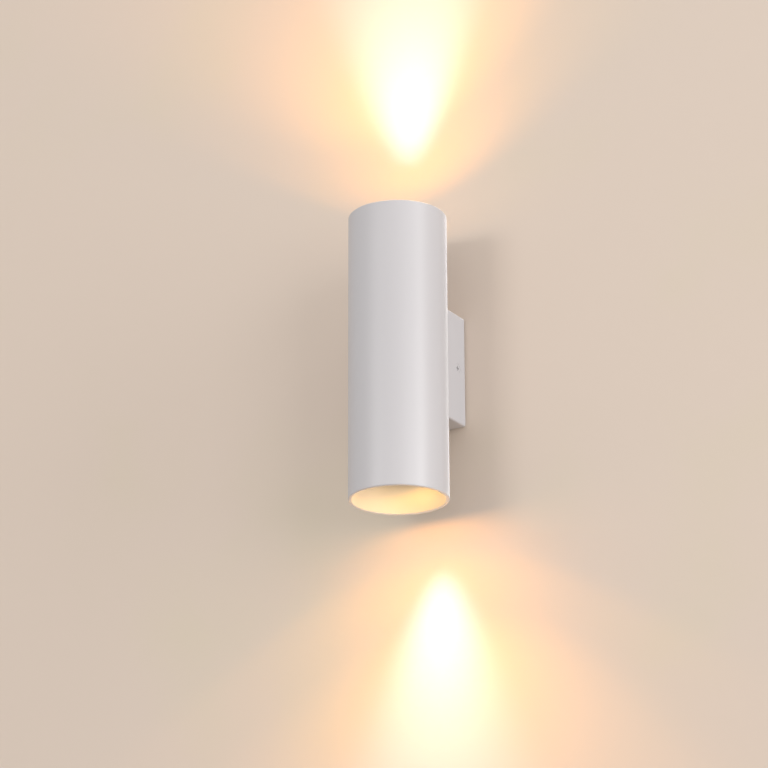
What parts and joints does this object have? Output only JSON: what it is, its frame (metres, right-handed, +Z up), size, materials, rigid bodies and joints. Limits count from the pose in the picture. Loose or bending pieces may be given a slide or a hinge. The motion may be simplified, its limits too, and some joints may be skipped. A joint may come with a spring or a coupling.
{
  "type": "tube wall light",
  "caption": "Up-and-down wall light: a satin off-white tube on a shallow wall box, with a twist-lock reflector lamp recessed in each end and a slotted steel plate for the wall.",
  "frame": {"origin": "centre of the mounting plate's back face, on the wall's surface", "axes": "+Z up along the tube, +Y into the wall, +X to the right as seen from the room"},
  "size_m": [0.06, 0.075, 0.18],
  "materials": {
    "tube_paint": "satin off-white powder coat",
    "screw_paint": "painted to match the box",
    "zinc_steel": "bright zinc plate",
    "brass": "bright",
    "nickel_brass": "nickel plated",
    "ceramic": "unglazed",
    "terminal_plastic": "matt nylon",
    "bush_rubber": "matt",
    "lead_brown": "silicone insulation, brown",
    "lead_blue": "silicone insulation, blue",
    "lead_green": "insulation, green and yellow",
    "lamp_plastic": "satin white",
    "lamp_lens": "frosted",
    "led_board": "white solder mask",
    "led_phosphor": "matt",
    "driver_board": "matt"
  },
  "bodies": {
    "fixture": {"tube": "tube_paint", "back_box": "tube_paint", "mounting_plate": "zinc_steel", "side_screws": "screw_paint", "body_screws": "zinc_steel", "body_screw_washers": "zinc_steel", "terminal_block": "terminal_plastic", "terminal_sleeves": "brass", "terminal_clamp_screws": "zinc_steel", "terminal_fixing_screws": "zinc_steel", "earth_lug": "nickel_brass", "earth_washer": "zinc_steel", "earth_screw": "zinc_steel", "earth_lead": "lead_green", "lamp_carrier": "zinc_steel", "lead_bush": "bush_rubber", "upper_live_lead": "lead_brown", "lower_live_lead": "lead_brown", "upper_neutral_lead": "lead_blue", "lower_neutral_lead": "lead_blue", "upper_lamp_holder": "ceramic", "upper_holder_contacts": "nickel_brass", "upper_holder_screws": "zinc_steel", "lower_lamp_holder": "ceramic", "lower_holder_contacts": "nickel_brass", "lower_holder_screws": "zinc_steel"},
    "upper_lamp": {"upper_lamp_pins": "nickel_brass", "upper_lamp_base": "lamp_plastic", "upper_lamp_housing": "lamp_plastic", "upper_lamp_driver": "driver_board", "upper_lamp_board": "led_board", "upper_lamp_chips": "led_phosphor", "upper_lamp_bezel": "lamp_plastic", "upper_lamp_lens": "lamp_lens"},
    "lower_lamp": {"lower_lamp_pins": "nickel_brass", "lower_lamp_base": "lamp_plastic", "lower_lamp_housing": "lamp_plastic", "lower_lamp_driver": "driver_board", "lower_lamp_board": "led_board", "lower_lamp_chips": "led_phosphor", "lower_lamp_bezel": "lamp_plastic", "lower_lamp_lens": "lamp_lens"}
  },
  "joints": [
    {"name": "upper_lamp_twist", "type": "hinge", "parent": "fixture", "child": "upper_lamp", "pos_m": [0, -0.045, 0.045], "axis": [0, 0, 1], "range_deg": [0, 22]},
    {"name": "lower_lamp_twist", "type": "hinge", "parent": "fixture", "child": "lower_lamp", "pos_m": [0, -0.045, -0.045], "axis": [0, 0, -1], "range_deg": [0, 22]}
  ]
}
